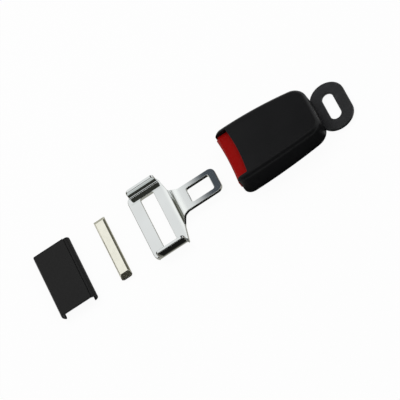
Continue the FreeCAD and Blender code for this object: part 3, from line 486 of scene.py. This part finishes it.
class FASTENER_OT_stage(bpy.types.Operator):
    """Sets the camera, the lamps, the white surround and the floor"""

    bl_idname = "fastener.stage"
    bl_label = "Stage"

    def card(self, name, centre, normal, size, shade, fade=None):
        """A glowing card, seen only in reflections, that paints a reflection; it may fade in along
        X or Y.
        """
        work = bmesh.new()
        bmesh.ops.create_grid(work, x_segments=1, y_segments=1, size=0.5)
        bmesh.ops.scale(work, verts=work.verts, vec=(size[0], size[1], 1.0))
        turn = Vector(normal).to_track_quat("Z", "Y").to_matrix()
        bmesh.ops.rotate(work, verts=work.verts, cent=(0, 0, 0), matrix=turn)
        bmesh.ops.translate(work, verts=work.verts, vec=centre)
        mesh = bpy.data.meshes.new(name)
        work.to_mesh(mesh)
        work.free()
        piece = bpy.data.objects.new(name, mesh)
        bpy.context.scene.collection.objects.link(piece)
        f = new_finish(name)
        # The card's colour glows as a painted reflection: dark, grey, or brighter than white as a
        # highlight.
        light = f.emission(shade)
        if fade:
            axis, start, end = fade
            where = f.node("ShaderNodeTexCoord", output="Object")
            along = f.node("ShaderNodeSeparateXYZ", {}, {"Vector": where}, output=axis)
            clear = f.node("ShaderNodeBsdfTransparent")
            light = f.mixed(f.step(along, start, end), clear, light)
        f.node("ShaderNodeOutputMaterial", {}, {"Surface": light})
        mesh.materials.append(f.owner)
        piece.visible_camera = False
        piece.visible_diffuse = False
        piece.visible_shadow = False

    def lamp(self, name, centre, size, power):
        """A soft lamp aimed at the middle of the set; reflections don't show it."""
        light = bpy.data.lights.new(name, "AREA")
        light.shape = "RECTANGLE"
        light.size = size
        light.size_y = size
        light.energy = power
        lamp = bpy.data.objects.new(name, light)
        bpy.context.scene.collection.objects.link(lamp)
        lamp.location = centre
        lamp.rotation_euler = Vector(centre).to_track_quat("Z", "Y").to_euler()
        lamp.visible_camera = False
        lamp.visible_glossy = False

    def camera(self, context, s):
        """The photograph's view; its aim is tied to the buckle's front."""
        front_of_buckle = Vector((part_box("lower_shell")[0].x, 0, 0))
        aim = front_of_buckle - VIEW_RIGHT * AIM_LEFT - VIEW_UP * AIM_BELOW
        eye = aim + VIEW_BACK * s.distance
        camera_data = bpy.data.cameras.new("view")
        camera_data.sensor_width = 36.0
        camera_data.lens = 36.0 * s.distance / s.view_width
        camera_data.clip_end = 50.0
        camera = bpy.data.objects.new("view", camera_data)
        context.scene.collection.objects.link(camera)
        turn = Matrix((VIEW_RIGHT, VIEW_UP, VIEW_BACK)).transposed().to_4x4()
        camera.matrix_world = Matrix.Translation(eye) @ turn
        context.scene.camera = camera

    def surround(self, context, s):
        """White to the camera and to reflections, dimmer as a light."""
        world = Finish(bpy.data.worlds.new("surround"))
        context.scene.world = world.owner
        strength = world.seen_or_mirrored() * (1.0 - s.ambient) + s.ambient
        sky = world.node("ShaderNodeBackground", {}, {"Color": (1, 1, 1, 1), "Strength": strength})
        world.node("ShaderNodeOutputWorld", {}, {"Surface": sky})

    def floor(self, context):
        """A pale floor just under the set, which keeps its shadow."""
        work = bmesh.new()
        bmesh.ops.create_grid(work, x_segments=1, y_segments=1, size=FLOOR_WIDTH / 2)
        bmesh.ops.translate(work, verts=work.verts, vec=(0, 0, -FLOOR_DROP))
        mesh = bpy.data.meshes.new("floor")
        work.to_mesh(mesh)
        work.free()
        floor = bpy.data.objects.new("floor", mesh)
        context.scene.collection.objects.link(floor)
        f = new_finish("floor_white")
        matt = f.node("ShaderNodeBsdfDiffuse", {}, {"Color": FLOOR_COLOUR})
        both = f.mixed(f.seen_or_mirrored() * FLOOR_GLOW, matt, f.emission((1, 1, 1)))
        f.node("ShaderNodeOutputMaterial", {}, {"Surface": both})
        mesh.materials.append(f.owner)

    def execute(self, context):
        s = context.scene.fastener_studio
        context.scene.view_settings.view_transform = "Standard"
        self.camera(context, s)
        self.surround(context, s)
        self.floor(context)
        self.lamp("key", (-0.5, 1.0, 1.3), 1.0, s.key_power)
        self.lamp("fill", (0.9, -0.9, 1.1), 0.9, s.fill_power)
        for row in REFLECTION_CARDS:
            self.card(*row)
        return {"FINISHED"}


class FASTENER_OT_housing(bpy.types.Operator):
    """Finishes the buckle's two shells"""

    bl_idname = "fastener.housing"
    bl_label = "Housing"

    def execute(self, context):
        edge = context.scene.fastener_sizes.plastic_edge
        finished_copy("upper_shell", "top_casing", edge)
        finished_copy("lower_shell", "lower_tray", edge * 0.6)
        return {"FINISHED"}


class FASTENER_OT_button(bpy.types.Operator):
    """Finishes the release button"""

    bl_idname = "fastener.button"
    bl_label = "Button"

    def execute(self, context):
        finished_copy("release_button", "push_button", context.scene.fastener_sizes.plastic_edge)
        return {"FINISHED"}


class FASTENER_OT_tongue(bpy.types.Operator):
    """Finishes the chromed tongue plate"""

    bl_idname = "fastener.tongue"
    bl_label = "Tongue plate"

    def execute(self, context):
        finished_copy("tongue_plate", "chromed_tongue", context.scene.fastener_sizes.plate_edge)
        return {"FINISHED"}


class FASTENER_OT_bar_and_cover(bpy.types.Operator):
    """Finishes the slide bar and its cover"""

    bl_idname = "fastener.bar_and_cover"
    bl_label = "Bar and cover"

    def execute(self, context):
        sizes = context.scene.fastener_sizes
        finished_copy("slide_bar", "locking_bar", sizes.bar_edge)
        finished_copy("bar_cover", "channel_cover", sizes.plastic_edge)
        return {"FINISHED"}


class FASTENER_OT_lug(bpy.types.Operator):
    """Finishes the anchor lug"""

    bl_idname = "fastener.lug"
    bl_label = "Anchor lug"

    def execute(self, context):
        finished_copy("anchor_lug", "slotted_lug", 0.0)
        return {"FINISHED"}


class FASTENER_OT_inner(bpy.types.Operator):
    """Finishes everything inside the buckle"""

    bl_idname = "fastener.inner"
    bl_label = "Mechanism"

    def execute(self, context):
        for node in NODE_SLOTS:
            if not frame["nodes"][node].hide_render:
                dress(node)
        return {"FINISHED"}


class FASTENER_PT_panel(bpy.types.Panel):
    """Lists the steps and their settings"""

    bl_idname = "FASTENER_PT_panel"
    bl_label = "Belt fastener set"
    bl_space_type = "VIEW_3D"
    bl_region_type = "UI"
    bl_category = "Fastener"

    def draw(self, context):
        for step in STEPS:
            self.layout.operator(step.bl_idname)
        for group in ("fastener_colours", "fastener_sizes", "fastener_studio"):
            settings = getattr(context.scene, group)
            for name in settings.bl_rna.properties.keys():
                if name not in ("rna_type", "name"):
                    self.layout.prop(settings, name)


STEPS = (FASTENER_OT_stage, FASTENER_OT_housing, FASTENER_OT_button, FASTENER_OT_tongue,
         FASTENER_OT_bar_and_cover, FASTENER_OT_lug, FASTENER_OT_inner)
CLASSES = (FastenerColours, FastenerFinishes, FastenerSizes, StudioSettings) + STEPS + (
    FASTENER_PT_panel,)


def register():
    """Adds the settings, the steps and the panel."""
    for kind in CLASSES:
        bpy.utils.register_class(kind)
    scene = bpy.types.Scene
    scene.fastener_colours = PointerProperty(type=FastenerColours)
    scene.fastener_finishes = PointerProperty(type=FastenerFinishes)
    scene.fastener_sizes = PointerProperty(type=FastenerSizes)
    scene.fastener_studio = PointerProperty(type=StudioSettings)


def unregister():
    """Takes them away again."""
    scene = bpy.types.Scene
    del scene.fastener_studio
    del scene.fastener_sizes
    del scene.fastener_finishes
    del scene.fastener_colours
    for kind in reversed(CLASSES):
        bpy.utils.unregister_class(kind)


def main():
    """Runs every step in order."""
    register()
    for step in STEPS:
        group, name = step.bl_idname.split(".")
        getattr(getattr(bpy.ops, group), name)()


if __name__ == "__main__":
    main()
